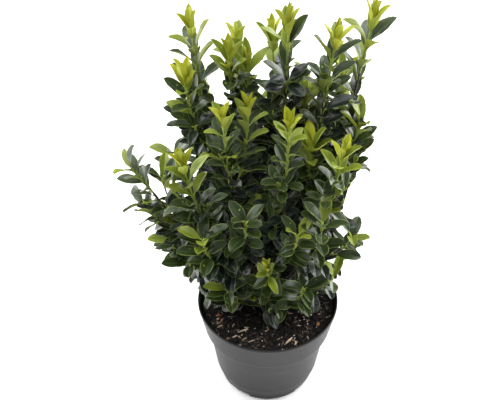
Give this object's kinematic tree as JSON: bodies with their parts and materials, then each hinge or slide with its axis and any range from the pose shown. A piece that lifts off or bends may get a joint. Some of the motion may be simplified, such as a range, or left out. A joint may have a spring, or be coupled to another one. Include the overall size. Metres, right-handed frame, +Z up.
{
  "type": "potted japanese spindle",
  "caption": "Evergreen Japanese spindle shrub with upright leafy shoots, growing in a round dark grey plastic nursery pot.",
  "frame": {"origin": "centre of the pot's flat underside, on the pot's axis", "axes": "+Z up along the pot's axis, -Y towards the pictured front of the plant, +X to its right as seen from the front"},
  "size_m": [0.3155, 0.272, 0.5699],
  "materials": {
    "pot_plastic": "matte dark grey injection-moulded plastic",
    "peat": "loose dark peat with bark chips, matte",
    "bark": "thin dark brown bark, matte",
    "foliage": "glossy leathery leaves"
  },
  "bodies": {
    "root": {"bough_back_centre": "bark", "bough_back_left": "bark", "bough_back_mid": "bark", "bough_back_right": "bark", "bough_centre_left": "bark", "bough_centre_tall": "bark", "bough_front_centre": "bark", "bough_front_left": "bark", "bough_front_right": "bark", "bough_left_arm": "bark", "bough_left_tall": "bark", "bough_mid_left": "bark", "bough_right_mid": "bark", "bough_right_side": "bark", "bough_right_tall": "bark", "crown_stem": "bark", "leaves_back_centre": "foliage", "leaves_back_left": "foliage", "leaves_back_mid": "foliage", "leaves_back_right": "foliage", "leaves_centre_left": "foliage", "leaves_centre_tall": "foliage", "leaves_front_centre": "foliage", "leaves_front_left": "foliage", "leaves_front_right": "foliage", "leaves_left_arm": "foliage", "leaves_left_tall": "foliage", "leaves_low_back": "foliage", "leaves_low_back_left": "foliage", "leaves_low_back_right": "foliage", "leaves_low_far_left": "foliage", "leaves_low_front": "foliage", "leaves_low_inner_left": "foliage", "leaves_low_inner_right": "foliage", "leaves_low_right": "foliage", "leaves_low_side_left": "foliage", "leaves_low_side_right": "foliage", "leaves_mid_left": "foliage", "leaves_right_mid": "foliage", "leaves_right_side": "foliage", "leaves_right_tall": "foliage", "pot": "pot_plastic", "potting_soil": "peat"}
  },
  "joints": []
}
